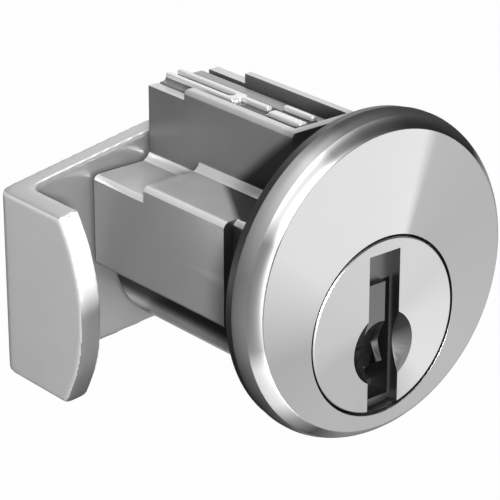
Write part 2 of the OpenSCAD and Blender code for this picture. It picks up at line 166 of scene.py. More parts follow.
@dataclass(frozen=True)
class PaintedLightSectors:
    """Painted light and shade: light and dark wedges round the Y axis, which stand in for
    reflections, highlights and shadow.

    Attributes:
        stops: An angle in degrees and a tint for each stop.
        drop_mm: How far their centre lies below the piece's origin.
    """

    stops: Stops
    drop_mm: float = 0.0

    def tint(self, board: NodeBoard, place: Socket, colour: Socket) -> Socket:
        """Paints light and shade on a colour by the angle round the Y axis.

        Args:
            board: The material's nodes.
            place: The socket with the place on the surface.
            colour: The colour to tint.

        Returns:
            The socket with the tinted colour.
        """
        apart = board.add("SeparateXYZ", {"Vector": place})
        lift = board.add("Math", {0: apart.outputs["Z"], 1: self.drop_mm * MM}, operation="ADD")
        sides = {0: lift.outputs["Value"], 1: apart.outputs["X"]}
        angle = board.add("Math", sides, operation="ARCTAN2").outputs["Value"]
        circle = {"Value": angle, "From Min": -math.pi, "From Max": math.pi}
        turn = board.add("MapRange", circle)
        ramp = board.add("ValToRGB", {"Fac": turn.outputs["Result"]})
        made = ramp.color_ramp.elements
        # A new ramp has its first stops already
        for degrees, _ in self.stops[len(made) :]:
            made.new(degrees / 360 + 0.5)
        for stop, (degrees, tint) in zip(made, sorted(self.stops)):
            stop.position = degrees / 360 + 0.5
            stop.color = opaque(grey(tint))
        return board.multiply(colour, ramp.outputs["Color"])


@dataclass(frozen=True)
class PaintedShade:
    """Painted shade that darkens along a direction, the same way on both sides of the lock.

    Attributes:
        way: Its direction, measured on the lengths of x, y and z without their signs.
        dark_mm: How far that way the painted shade is darkest.
        light_mm: How far that way the darkening ends.
        least: How dark it is.
    """

    way: Place
    dark_mm: float
    light_mm: float
    least: float

    def tint(self, board: NodeBoard, place: Socket, colour: Socket) -> Socket:
        """Paints shade on a colour along the direction.

        Args:
            board: The material's nodes.
            place: The socket with the place on the surface.
            colour: The colour to darken.

        Returns:
            The socket with the darkened colour.
        """
        lengths = board.add("VectorMath", {0: place}, operation="ABSOLUTE").outputs["Vector"]
        along = board.add("VectorMath", {0: lengths, 1: self.way}, operation="DOT_PRODUCT")
        limits = {
            "Value": along.outputs["Value"],
            "From Min": self.dark_mm * MM,
            "From Max": self.light_mm * MM,
            "To Min": self.least,
        }
        return board.multiply(colour, board.add("MapRange", limits).outputs["Result"])


@dataclass(frozen=True)
class PaintedCornerShade:
    """Painted shade in a casting's corners, darkest where least open sky is in reach.

    Attributes:
        reach_mm: How far it reaches.
        least: How dark it is in the deepest corner.
        deep_sky: Share of open sky up to which a corner is as dark as that.
        open_sky: Share of open sky from which a face is clean.
        samples: Rays that look for the sky.
    """

    reach_mm: float
    least: float = 0.15
    deep_sky: float = 0.3
    open_sky: float = 0.95
    samples: int = 12

    def tint(self, board: NodeBoard, colour: Socket) -> Socket:
        """Paints shade on a colour in the corners.

        Args:
            board: The material's nodes.
            colour: The colour to darken.

        Returns:
            The socket with the darkened colour.
        """
        sky = board.add("AmbientOcclusion", {"Distance": self.reach_mm * MM}, samples=self.samples)
        limits = {
            "Value": sky.outputs["AO"],
            "From Min": self.deep_sky,
            "From Max": self.open_sky,
            "To Min": self.least,
        }
        return board.multiply(colour, board.add("MapRange", limits).outputs["Result"])


@dataclass(frozen=True)
class TurningMarks:
    """Fine rings round the Y axis, with highlights that stretch across them.

    Attributes:
        anisotropy: How far the highlights stretch.
        depth: Strength of the rings' bump.
        height_mm: Full height of that bump.
        pitch_mm: Spacing of the rings.
        detail: Detail of their pattern.
    """

    anisotropy: float
    depth: float
    height_mm: float = 0.01
    pitch_mm: float = 0.09
    detail: float = 3.0

    def cut(self, board: NodeBoard, place: Socket, normal: Socket) -> Socket:
        """Adds the rings.

        Args:
            board: The material's nodes.
            place: The socket with the place on the surface.
            normal: The normal that the rings are added to.

        Returns:
            The socket with the new normal.
        """
        apart = board.add("SeparateXYZ", {"Vector": place}).outputs
        flat = board.add("CombineXYZ", {"X": apart["X"], "Z": apart["Z"]}).outputs["Vector"]
        radius = board.add("VectorMath", {0: flat}, operation="LENGTH").outputs["Value"]
        pattern = {"W": radius, "Scale": 1 / (self.pitch_mm * MM), "Detail": self.detail}
        rings = board.add("TexNoise", pattern, noise_dimensions="1D")
        bump = {
            "Strength": self.depth,
            "Distance": self.height_mm * MM,
            "Height": rings.outputs["Fac"],
            "Normal": normal,
        }
        across = board.add("Tangent", direction_type="RADIAL", axis="Y").outputs["Tangent"]
        shader = board.nodes["Principled BSDF"]
        board.feed(shader, {"Anisotropic": self.anisotropy, "Tangent": across})
        return board.add("Bump", bump).outputs["Normal"]


@dataclass(frozen=True)
class Skin:
    """The fine texture of a metal.

    Attributes:
        roughness: Roughness of the plain surface.
        spread: How much the roughness varies from place to place.
        blotch: How much the colour varies from place to place.
        grain_mm: Size of the grain.
        grain_depth: Strength of the grain's bump.
        metallic: Share of bare metal, where the rest is a dull oxide skin.
        edge_tint: How bright the metal stays where it is seen along its surface.
        blotches_per_mm: Scale of the blotches.
        blotch_detail: Detail of the blotches' pattern.
        grain_detail: Detail of the grain's pattern.
        grain_height_mm: Full height of the grain's bump.
    """

    roughness: float
    spread: float
    blotch: float
    grain_mm: float
    grain_depth: float
    metallic: float = 1.0
    edge_tint: float = 1.0
    blotches_per_mm: float = 0.35
    blotch_detail: float = 4.0
    grain_detail: float = 2.0
    grain_height_mm: float = 0.02


@dataclass(frozen=True)
class MetalFinish:
    """A metal with fine grain, soft blotches, marks round the Y axis where it is turned, and
    painted light and shade where given.

    Attributes:
        name: The material's name.
        colour: Linear base colour.
        skin: Its fine texture.
        marks: Its turning marks.
        painted_light: Its painted light and shade in wedges round the Y axis.
        painted_shade: Its painted shade along a direction.
        painted_corner_shade: The painted shade in its corners.
    """

    name: str
    colour: Colour
    skin: Skin
    marks: TurningMarks | None = None
    painted_light: PaintedLightSectors | None = None
    painted_shade: PaintedShade | None = None
    painted_corner_shade: PaintedCornerShade | None = None

    def build(self) -> bpy.types.Material:
        """Makes the material.

        Returns:
            The new material.
        """
        skin = self.skin
        material = bpy.data.materials.new(self.name)
        board = NodeBoard(material)
        place = board.add("TexCoord").outputs["Object"]
        scale = skin.blotches_per_mm / MM
        pattern = {"Vector": place, "Scale": scale, "Detail": skin.blotch_detail}
        blotches = board.add("TexNoise", pattern).outputs["Fac"]
        ends = {
            "Value": blotches,
            "To Min": skin.roughness - skin.spread,
            "To Max": skin.roughness + skin.spread,
        }
        look = {
            "Metallic": skin.metallic,
            "Specular Tint": opaque(grey(skin.edge_tint)),
            "Base Color": self.tinted(board, place, blotches),
            "Roughness": board.add("MapRange", ends).outputs["Result"],
            "Normal": self.grained(board, place),
        }
        board.feed(board.nodes["Principled BSDF"], look)
        return material

    def tinted(self, board: NodeBoard, place: Socket, blotches: Socket) -> Socket:
        """Adds the blotched colour and the painted light and shade on it.

        Args:
            board: The material's nodes.
            place: The socket with the place on the surface.
            blotches: The socket with the blotches' pattern.

        Returns:
            The socket with the colour.
        """
        blotch = self.skin.blotch
        ends = {
            "Factor": blotches,
            "A": opaque(tuple(c * (1 - blotch) for c in self.colour)),
            "B": opaque(tuple(min(1.0, c * (1 + blotch)) for c in self.colour)),
        }
        colour = board.add("Mix", ends, data_type="RGBA").outputs["Result"]
        for tint in (self.painted_light, self.painted_shade):
            if tint:
                colour = tint.tint(board, place, colour)
        return self.painted_corner_shade.tint(board, colour) if self.painted_corner_shade else colour

    def grained(self, board: NodeBoard, place: Socket) -> Socket:
        """Adds the grain and the turning marks.

        Args:
            board: The material's nodes.
            place: The socket with the place on the surface.

        Returns:
            The socket with the normal.
        """
        skin = self.skin
        scale = 1 / (skin.grain_mm * MM)
        pattern = {"Vector": place, "Scale": scale, "Detail": skin.grain_detail}
        bump = {
            "Strength": skin.grain_depth,
            "Distance": skin.grain_height_mm * MM,
            "Height": board.add("TexNoise", pattern).outputs["Fac"],
        }
        normal = board.add("Bump", bump).outputs["Normal"]
        return self.marks.cut(board, place, normal) if self.marks else normal


# Skins that several finishes share: roughness, spread, blotch, grain_mm and grain_depth
SATIN = Skin(0.3, 0.03, 0.02, 0.08, 0.03)
POLISHED = Skin(0.5, 0.02, 0.02, 0.08, 0.02, metallic=0.8, edge_tint=0.3)
CAST = Skin(0.34, 0.05, 0.06, 0.16, 0.12, metallic=0.55)
WORN = Skin(0.3, 0.04, 0.05, 0.12, 0.06, metallic=0.5)
PLATED = Skin(0.32, 0.04, 0.04, 0.12, 0.06, metallic=0.35)

# Painted reflections on the cap's flat face: a light wedge and darker sides, by angle
FACE_PAINTED_LIGHT: Stops = (
    *((-180, 0.56), (-90, 0.6), (-30, 0.65), (0, 0.64), (70, 0.62), (75, 1.0), (140, 1.0)),
    *((165, 0.72), (180, 0.56)),
)
# Painted reflections on the plug's face, by angle
PLUG_PAINTED_LIGHT: Stops = (
    *((-180, 0.77), (-160, 0.65), (-110, 0.6), (-80, 0.7), (-50, 1.0), (0, 0.98), (30, 0.86)),
    *((150, 0.8), (180, 0.77)),
)
# Painted reflections and highlights on the cap's polished bevel, by angle
BEVEL_PAINTED_LIGHT: Stops = (
    *((-180, 0.33), (-170, 0.38), (-162, 1.0), (-145, 0.95), (-134, 0.4), (-122, 0.1)),
    *((-108, 0.33), (-45, 0.37), (-18, 0.67), (25, 0.6), (42, 0.03), (80, 0.045), (100, 0.14)),
    *((114, 0.35), (120, 0.8), (143, 0.7), (152, 0.22), (165, 0.28), (180, 0.33)),
)
# Painted reflections and shade on the cap's rim, by angle
RIM_PAINTED_LIGHT: Stops = (
    *((-180, 0.32), (-168, 0.28), (-160, 0.2), (-145, 0.12), (-130, 0.2), (-120, 0.5)),
    *((-60, 0.5), (0, 0.8), (25, 0.55), (42, 0.05), (80, 0.045), (104, 0.09), (115, 0.3)),
    *((122, 0.5), (140, 0.45), (155, 0.32), (165, 0.26), (180, 0.32)),
)
# Painted shade in the countersink, with painted light on its lower side, by angle
SINK_PAINTED_LIGHT: Stops = (
    *((-180, 0.006), (-95, 0.006), (-80, 0.6), (-20, 0.5), (25, 0.1), (90, 0.01)),
    (180, 0.006),
)
# Painted shade under the wings and a painted reflection along the barrel's lower edge, by angle
BARREL_PAINTED_LIGHT: Stops = (
    *((-180, 0.02), (-160, 0.03), (-157, 0.14), (-154, 0.37), (-151, 0.72), (-149, 1.0)),
    *((-144, 1.0), (-138, 0.42), (-134, 0.22), (-60, 0.3), (-20, 0.02), (180, 0.02)),
)
# Painted highlight on part of the cam's rolled edge, by angle
CAM_EDGE_PAINTED_HIGHLIGHT: Stops = (
    *((-180, 1.0), (-175, 0.85), (-168, 0.22), (-140, 0.2), (-90, 0.2), (150, 1.0)),
    (180, 1.0),
)


@dataclass(frozen=True)
class Finishes:
    """Every finish on the lock.

    Attributes:
        turned_nickel: The cap's flat face, with painted reflections by angle.
        turned_bevel: Its bevel, with painted reflections and highlights by angle.
        turned_rim: Its rim, with painted reflections and shade by angle.
        plug_nickel: The plug, with painted reflections on its face by angle.
        keyway_painted_shade: Painted shade on the walls of the keyway and of the cap's hole, and
            on the plug's side behind the face.
        countersink: The countersink behind the key slot, with painted light and shade by angle.
        die_cast: The casting where no finish below applies, with painted shade in its corners.
        zinc_wear_and_highlight: Its rounded edges, lighter from wear and a painted highlight, and
            its fillets, lighter from a painted highlight.
        cast_top_painted_light: Its level tops, lit lighter in paint, with the flange's painted
            shadow.
        cast_wall_painted_shade: The tower's walls, shaded darker in paint, with the flange's
            painted shadow and painted shade in corners.
        cast_side_painted_light: The wings' walls, lit lighter in paint, with painted shade that
            grows away from the face's middle height and towards the back.
        cast_neck_painted_shade: Painted shade on the neck behind the flange and on the lip's edge.
        cast_rail_painted_highlight: The tower's rails, with a painted highlight and the flange's
            painted shadow.
        cast_barrel_painted_light: The round barrel, with painted shade under the wings and a
            painted reflection along its lower edge.
        pressed: The tumbler cover and the stop washer, with painted shade in corners.
        rib_painted_highlight: The cover's ribs, with a painted highlight.
        cam_plate: The cam, with painted shade in its corners.
        cam_shade: Painted shade on its plate behind the body, and painted shade in its corners.
        cam_top_painted_shade: Its faces that look up, shaded darker in paint, with painted shade
            in corners.
        cam_edge_painted_highlight: A painted highlight on the rolled front edge of its flange.
        spring: The springs and the lock washer.
        zinc_plate: The nut.
        brass: The pins.
    """

    turned_nickel: MetalFinish = MetalFinish(
        "turned_nickel",
        grey(0.8),
        SATIN,
        TurningMarks(anisotropy=0.55, depth=0.06),
        PaintedLightSectors(FACE_PAINTED_LIGHT, PLUG_DROP_MM),
    )
    turned_bevel: MetalFinish = MetalFinish(
        "turned_bevel",
        grey(0.95),
        POLISHED,
        TurningMarks(anisotropy=0.8, depth=0.03),
        PaintedLightSectors(BEVEL_PAINTED_LIGHT),
    )
    turned_rim: MetalFinish = MetalFinish(
        "turned_rim",
        grey(0.6),
        replace(POLISHED, metallic=0.3),
        TurningMarks(anisotropy=0.8, depth=0.03),
        PaintedLightSectors(RIM_PAINTED_LIGHT),
    )
    plug_nickel: MetalFinish = MetalFinish(
        "plug_nickel",
        grey(0.8),
        SATIN,
        TurningMarks(anisotropy=0.5, depth=0.05),
        PaintedLightSectors(PLUG_PAINTED_LIGHT, PLUG_DROP_MM),
    )
    # Painted shade on the keyway's walls, the plug's side behind the face and the wall of the
    # cap's hole
    keyway_painted_shade: MetalFinish = MetalFinish(
        "keyway_painted_shade", grey(0.2), Skin(0.4, 0.04, 0.08, 0.08, 0.04)
    )
    countersink: MetalFinish = MetalFinish(
        "countersink",
        grey(0.5),
        replace(SATIN, roughness=0.35, blotch=0.03),
        painted_light=PaintedLightSectors(SINK_PAINTED_LIGHT, PLUG_DROP_MM + SINK_DROP_MM),
    )
    # Painted shade in the casting's corners
    die_cast: MetalFinish = MetalFinish(
        "die_cast_zinc", (0.33, 0.333, 0.337), CAST, painted_corner_shade=PaintedCornerShade(reach_mm=5)
    )
    # Lighter than the casting: wear and a painted highlight on its rounded edges, a painted
    # highlight on its fillets
    zinc_wear_and_highlight: MetalFinish = MetalFinish("zinc_wear_and_highlight", grey(0.75), WORN)
    # Lit lighter in paint than the casting, with the flange's painted shadow on the shelves
    cast_top_painted_light: MetalFinish = MetalFinish(
        "cast_top_painted_light",
        grey(0.39),
        replace(CAST, metallic=0.5),
        painted_shade=PaintedShade((0.848, 0.53, 0), dark_mm=9.2, light_mm=9.8, least=0.1),
    )
    # Shaded darker in paint than the casting, with the flange's painted shadow and painted shade
    # in corners
    cast_wall_painted_shade: MetalFinish = MetalFinish(
        "cast_wall_painted_shade",
        grey(0.23),
        CAST,
        painted_shade=PaintedShade((0, 0.66, 0.75), dark_mm=10.3, light_mm=11.2, least=0.08),
        painted_corner_shade=PaintedCornerShade(reach_mm=2, least=0.5),
    )
    # Lit lighter in paint than the casting, with painted shade growing away from the face's middle
    # height and towards the back
    cast_side_painted_light: MetalFinish = MetalFinish(
        "cast_side_painted_light",
        grey(0.95),
        CAST,
        painted_shade=PaintedShade((0, -0.15, -1), dark_mm=-1.5, light_mm=1.2, least=0.44),
    )
    # Painted shade on the neck behind the flange and on the lip's edge
    cast_neck_painted_shade: MetalFinish = MetalFinish(
        "cast_neck_painted_shade", grey(0.16), replace(CAST, roughness=0.4, metallic=1.0)
    )
    # Lit lighter in paint as a highlight on the rails, with the flange's painted shadow near the
    # face
    cast_rail_painted_highlight: MetalFinish = MetalFinish(
        "cast_rail_painted_highlight",
        grey(0.48),
        WORN,
        painted_shade=PaintedShade((0, 1, 0), dark_mm=2.5, light_mm=5, least=0.12),
    )
    # Lit lighter in paint, with painted shade under the wings and a painted reflection along the
    # lower edge
    cast_barrel_painted_light: MetalFinish = MetalFinish(
        "cast_barrel_painted_light",
        grey(0.95),
        replace(CAST, roughness=0.3, grain_depth=0.1, metallic=0.7),
        painted_light=PaintedLightSectors(BARREL_PAINTED_LIGHT, PLUG_DROP_MM),
    )
    # Painted shade in the corners
    pressed: MetalFinish = MetalFinish(
        "pressed_steel",
        grey(0.24),
        Skin(0.26, 0.05, 0.05, 0.1, 0.06, metallic=0.5),
        painted_corner_shade=PaintedCornerShade(reach_mm=1.2, least=0.4),
    )
    # Lit lighter in paint as a highlight on the cover's ribs
    rib_painted_highlight: MetalFinish = MetalFinish(
        "rib_painted_highlight", grey(0.66), Skin(0.3, 0.04, 0.03, 0.1, 0.04, metallic=0.5)
    )
    # Painted shade in the cam's corners
    cam_plate: MetalFinish = MetalFinish(
        "plated_cam",
        grey(0.74),
        replace(PLATED, edge_tint=0.3),
        painted_corner_shade=PaintedCornerShade(reach_mm=4, least=0.5),
    )
    # Painted shade on the plate behind the body, and in its corners
    cam_shade: MetalFinish = MetalFinish(
        "shaded_cam", grey(0.3), PLATED, painted_corner_shade=PaintedCornerShade(reach_mm=4, least=0.6)
    )
    # Shaded darker in paint on faces that look up, with painted shade in corners
    cam_top_painted_shade: MetalFinish = MetalFinish(
        "cam_top_painted_shade", grey(0.4), PLATED, painted_corner_shade=PaintedCornerShade(reach_mm=4, least=0.5)
    )
    # Painted highlight on the flange's rolled front edge, by angle
    cam_edge_painted_highlight: MetalFinish = MetalFinish(
        "rolled_cam_edge_painted_highlight",
        grey(0.85),
        Skin(0.3, 0.03, 0.03, 0.12, 0.04, metallic=0.1),
        painted_light=PaintedLightSectors(CAM_EDGE_PAINTED_HIGHLIGHT),
    )
    spring: MetalFinish = MetalFinish(
        "spring_steel", grey(0.42), Skin(0.3, 0.05, 0.05, 0.08, 0.05)
    )
    zinc_plate: MetalFinish = MetalFinish(
        "zinc_plated", (0.6, 0.6, 0.58), Skin(0.32, 0.06, 0.08, 0.1, 0.06)
    )
    brass: MetalFinish = MetalFinish(
        "turned_brass", (0.7, 0.5, 0.2), Skin(0.28, 0.05, 0.04, 0.08, 0.04)
    )


class MeshTools:
    """Small helpers that turn sharp solids into rounded, well-shaded meshes.

    Attributes:
        WELD_MM: Points nearer to each other than this become one.
        FLAT: Faces that turn by less than this, in degrees, become one.
        PROFILE: Shape of a rounding, where 0.5 is a circle's.
        PASSES: How many times a softened mesh is smoothed.
        PULL: How far each of those passes moves a point towards the middle of its neighbours.
        CREASE: Edges that turn by more than this, in degrees, stay crisp.
        LARGE_FACE_WEIGHT: How far large faces outweigh small ones, where 50 is neutral.
    """

    WELD_MM = 0.0001
    FLAT = 0.6
    PROFILE = 0.5
    PASSES = 20
    PULL = 0.5
    CREASE = 40.0
    LARGE_FACE_WEIGHT = 100

    @classmethod
    def merge(cls, mesh: bmesh.types.BMesh) -> None:
        """Joins points in one place and triangles in one plane.

        Args:
            mesh: The mesh to change.
        """
        bmesh.ops.remove_doubles(mesh, verts=mesh.verts, dist=cls.WELD_MM * MM)
        limit = math.radians(cls.FLAT)
        bmesh.ops.dissolve_limit(mesh, angle_limit=limit, verts=mesh.verts, edges=mesh.edges)

    @classmethod
    def round_edges(
        cls,
        mesh: bmesh.types.BMesh,
        width_mm: float,
        least_angle: float,
        segments: int,
        place: int,
    ) -> None:
        """Rounds every edge that is sharper than an angle.

        Args:
            mesh: The mesh to change.
            width_mm: How far the rounding reaches from the edge.
            least_angle: Edges that turn by less than this, in degrees, stay.
            segments: Steps across the rounding.
            place: The material slot of the rounded faces.
        """
        limit = math.radians(least_angle)
        sharp = [e for e in mesh.edges if e.is_manifold and e.calc_face_angle(0.0) > limit]
        bmesh.ops.bevel(
            mesh,
            geom=sharp,
            offset=width_mm * MM,
            offset_type="OFFSET",
            segments=segments,
            profile=cls.PROFILE,
            affect="EDGES",
            clamp_overlap=True,
            loop_slide=True,
            material=place,
        )

    @classmethod
    def soften(cls, mesh: bmesh.types.BMesh, cell_mm: float) -> None:
        """Rebuilds a solid in small even cells and smooths it, which rounds all its edges.

        Args:
            mesh: The mesh to change.
            cell_mm: Size of the cells.
        """
        data = bpy.data.meshes.new("softened")
        mesh.to_mesh(data)
        made = add_object("softened", data)
        cells = made.modifiers.new("cells", "REMESH")
        cells.mode = "VOXEL"
        cells.voxel_size = cell_mm * MM
        smooth = made.modifiers.new("smooth", "SMOOTH")
        smooth.factor = cls.PULL
        smooth.iterations = cls.PASSES
        bpy.context.view_layer.update()
        ready = made.evaluated_get(bpy.context.evaluated_depsgraph_get())
        mesh.clear()
        mesh.from_mesh(ready.to_mesh())
        ready.to_mesh_clear()
        bpy.data.objects.remove(made)
        bpy.data.meshes.remove(data)

    @classmethod
    def to_object(cls, mesh: bmesh.types.BMesh, name: str) -> bpy.types.Object:
        """Makes an object of a mesh, smooth-shaded with its flats kept flat.

        Args:
            mesh: The mesh, which is freed.
            name: The object's name.

        Returns:
            The new object, linked to the scene.
        """
        bmesh.ops.recalc_face_normals(mesh, faces=mesh.faces)
        limit = math.radians(cls.CREASE)
        for face in mesh.faces:
            face.smooth = True
        for edge in mesh.edges:
            edge.smooth = not edge.is_manifold or edge.calc_face_angle(0.0) < limit
        data = bpy.data.meshes.new(name)
        mesh.to_mesh(data)
        mesh.free()
        made = add_object(name, data)
        weigh = made.modifiers.new("even_normals", "WEIGHTED_NORMAL")
        weigh.keep_sharp = True
        weigh.weight = cls.LARGE_FACE_WEIGHT
        return made

    @staticmethod
    def sheet(name: str, half: float) -> bpy.types.Object:
        """Makes a flat square.

        Args:
            name: The object's name.
            half: Half its side, in metres.

        Returns:
            The new object, linked to the scene.
        """
        mesh = bmesh.new()
        bmesh.ops.create_grid(mesh, x_segments=1, y_segments=1, size=half)
        data = bpy.data.meshes.new(name)
        mesh.to_mesh(data)
        mesh.free()
        return add_object(name, data)


@dataclass(frozen=True)
class Turn:
    """A range of angles between a face and a direction, which takes in any angle by default.

    Attributes:
        least: Its lower end, in degrees.
        most: Its upper end, in degrees.
    """

    least: float = -1.0
    most: float = 181.0

    def holds(self, normal: Vector, way: Place) -> bool:
        """Tells whether the angle from a normal to a direction lies in the range."""
        return self.least < math.degrees(normal.angle(Vector(way), 0.0)) < self.most


# Square to the direction, or nearly so
SQUARE = Turn(80, 100)
NEARLY_SQUARE = Turn(60, 120)


@dataclass(frozen=True)
class Zone:
    """The faces of a piece that have a finish of their own.

    Attributes:
        finish: Their finish.
        axis_mm: Height of a line along Y.
        least_mm: Faces nearer to the line than this are left.
        most_mm: Faces further from the line than this are left.
        front_mm: Faces in front of this are left.
        back_mm: Faces behind this are left.
        foot_mm: Faces below this are left.
        slant: How the faces are turned from the front.
        tilt: How the faces are turned from straight up.
    """

    finish: MetalFinish
    axis_mm: float = 0.0
    least_mm: float = 0.0
    most_mm: float = FAR_MM
    front_mm: float = -FAR_MM
    back_mm: float = FAR_MM
    foot_mm: float = -FAR_MM
    slant: Turn = Turn()
    tilt: Turn = Turn()

    def holds(self, face: bmesh.types.BMFace) -> bool:
        """Tells whether a face lies in the zone.

        Args:
            face: The face.

        Returns:
            Whether it does.
        """
        centre = face.calc_center_median() / MM
        reach = math.hypot(centre.x, centre.z - self.axis_mm)
        return (
            self.least_mm < reach < self.most_mm
            and self.front_mm < centre.y < self.back_mm
            and centre.z > self.foot_mm
            and self.slant.holds(face.normal, (0, -1, 0))
            and self.tilt.holds(face.normal, (0, 0, 1))
        )


@dataclass
class RoundedNode:
    """A piece made from a node's own solid, its sharp edges rounded as they're cast or pressed.

    Attributes:
        node: The node that it stands for.
        body: The body that it rides on.
        slot: The record's material slot; not used.
        finish: Its finish.
        edge_mm: Width of the rounding.
        edge_finish: The finish of the rounded edges, where it isn't the piece's own.
        segments: Steps across the rounding.
        cell_mm: Size of the cells of a new mesh, rounded all over, or 0 to keep its own mesh.
        least_angle: Edges that turn by less than this, in degrees, are left.
        zones: Faces with a finish of their own, where a later zone wins.
    """

    node: str
    body: Body
    slot: str
    finish: MetalFinish
    edge_mm: float = 0.1
    edge_finish: MetalFinish | None = None
    segments: int = 3
    cell_mm: float = 0.0
    least_angle: float = 30.0
    zones: tuple[Zone, ...] = ()

    def build(self) -> bpy.types.Object:
        """Makes the piece.

        Returns:
            The piece, riding on its body in the node's place.
        """
        mesh = bmesh.new()
        mesh.from_mesh(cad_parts[self.node].data)
        MeshTools.merge(mesh)
        if self.cell_mm > 0:
            MeshTools.soften(mesh, self.cell_mm)
        else:
            place = 1 if self.edge_finish else 0
            MeshTools.round_edges(mesh, self.edge_mm, self.least_angle, self.segments, place)
        coats = [self.finish, self.edge_finish] if self.edge_finish else [self.finish]
        for face in mesh.faces:
            for place, zone in enumerate(self.zones, start=len(coats)):
                if zone.holds(face):
                    face.material_index = place
        piece = MeshTools.to_object(mesh, f"rounded_{self.node}")
        for finish in (*coats, *(zone.finish for zone in self.zones)):
            piece.data.materials.append(finish.build())
        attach(piece, self.body.value)
        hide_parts(self.node)
        return piece


@dataclass
class Assembly:
    """Some pieces of the lock that belong together, and the sizes that several of these share.

    Attributes:
        finishes: The lock's finishes.
        plug_drop_mm: Drop of the plug's axis below the face's centre.
        face_t_mm: Height of the face above the door.
        hole_r_mm: Radius that holds the plug's head and the cap's hole.
    """

    finishes: Finishes
    plug_drop_mm: float = PLUG_DROP_MM
    face_t_mm: float = 3.2
    hole_r_mm: float = 7.6

    def pieces(self) -> list[RoundedNode]:
        """The pieces, in the order in which they're made."""
        raise NotImplementedError

    def build(self) -> list[bpy.types.Object]:
        """Makes the pieces."""
        return [piece.build() for piece in self.pieces()]


@dataclass
class Casting(Assembly):
    """The die-cast body.

    Attributes:
        edge_mm: Width of its rounding.
        seat_mm: Just behind the flange's rear side.
        clear_mm: A little further behind it.
        lip_r_mm: Radius outside which the flange is the lip's edge.
        wing_r_mm: Distance from the middle at which the wings' walls begin.
        wing_front_mm: Front end of the wings' walls.
        wing_foot_mm: Lower end of the wings' walls.
        neck_back_mm: Rear end of the neck's walls.
        shoulder_back_mm: Rear end of the neck's faces that look forwards.
        tower_foot_mm: Lower end of the tower's walls.
        top_foot_mm: Height above which level faces and fillets get painted light.
        rail_foot_mm: Height above which the tower's rails get a painted highlight.
        barrel_in_mm: A little less than the barrel's radius.
        barrel_out_mm: A little more than the barrel's radius.
        forwards: How faces that look forwards are turned from the front.
        level: How level faces are turned from straight up.
        fillet: How the fillets are turned from straight up.
        wall: How the walls are turned from straight up.
    """

    edge_mm: float = 0.25
    seat_mm: float = 0.1
    clear_mm: float = 0.3
    lip_r_mm: float = 12.9
    wing_r_mm: float = 8.0
    wing_front_mm: float = 4.6
    wing_foot_mm: float = -4.5
    neck_back_mm: float = 4.7
    shoulder_back_mm: float = 5.4
    tower_foot_mm: float = 4.5
    top_foot_mm: float = 3.0
    rail_foot_mm: float = 9.7
    barrel_in_mm: float = 7.2
    barrel_out_mm: float = 7.7
    forwards: Turn = Turn(most=20)
    level: Turn = Turn(most=18)
    fillet: Turn = Turn(18, 72)
    wall: Turn = Turn(72, 100)

    def pieces(self) -> list[RoundedNode]:
        """The casting, with its rounded edges lighter from wear and a painted highlight.

        Returns:
            The piece.
        """
        cast, edge_finish = self.finishes.die_cast, self.finishes.zinc_wear_and_highlight
        zones = (*self.neck_zones(), *self.tower_zones(), self.barrel_zone())
        width = self.edge_mm
        return [
            RoundedNode("housing", Body.LOCK, "die_cast_zinc", cast, width, edge_finish, zones=zones)
        ]

    def neck_zones(self) -> tuple[Zone, ...]:
        """The wings' walls with their painted light and shade, and the painted shade on the neck
        behind the flange and on the lip's edge.

        Returns:
            Their zones.
        """
        side, neck = self.finishes.cast_side_painted_light, self.finishes.cast_neck_painted_shade
        wings = {"least_mm": self.wing_r_mm, "slant": SQUARE}
        front, foot, back = self.wing_front_mm, self.wing_foot_mm, self.neck_back_mm
        clear, shoulder = self.clear_mm, self.shoulder_back_mm
        return (
            Zone(side, front_mm=front, foot_mm=foot, tilt=SQUARE, **wings),
            Zone(neck, front_mm=self.seat_mm, back_mm=back, tilt=NEARLY_SQUARE, **wings),
            Zone(neck, front_mm=clear, back_mm=shoulder, slant=self.forwards),
            Zone(neck, least_mm=self.lip_r_mm, back_mm=self.seat_mm),
        )

    def tower_zones(self) -> tuple[Zone, ...]:
        """The tower's walls, fillets, tops and rails, with their painted light and shade.

        Returns:
            Their zones.
        """
        f = self.finishes
        seat, wall = self.seat_mm, self.tower_foot_mm
        top, rail = self.top_foot_mm, self.rail_foot_mm
        above_wall = Turn(most=self.fillet.most)
        return (
            Zone(f.cast_wall_painted_shade, front_mm=seat, foot_mm=wall, slant=SQUARE, tilt=self.wall),
            # Painted highlight on the fillets
            Zone(f.zinc_wear_and_highlight, front_mm=seat, foot_mm=top, slant=SQUARE, tilt=self.fillet),
            Zone(f.cast_top_painted_light, front_mm=seat, foot_mm=top, tilt=self.level),
            Zone(f.cast_rail_painted_highlight, front_mm=seat, foot_mm=rail, tilt=above_wall),
        )

    def barrel_zone(self) -> Zone:
        """The round barrel, with its painted light and shade.

        Returns:
            Its zone.
        """
        return Zone(
            self.finishes.cast_barrel_painted_light,
            axis_mm=-self.plug_drop_mm,
            least_mm=self.barrel_in_mm,
            most_mm=self.barrel_out_mm,
            front_mm=self.clear_mm,
            slant=NEARLY_SQUARE,
        )


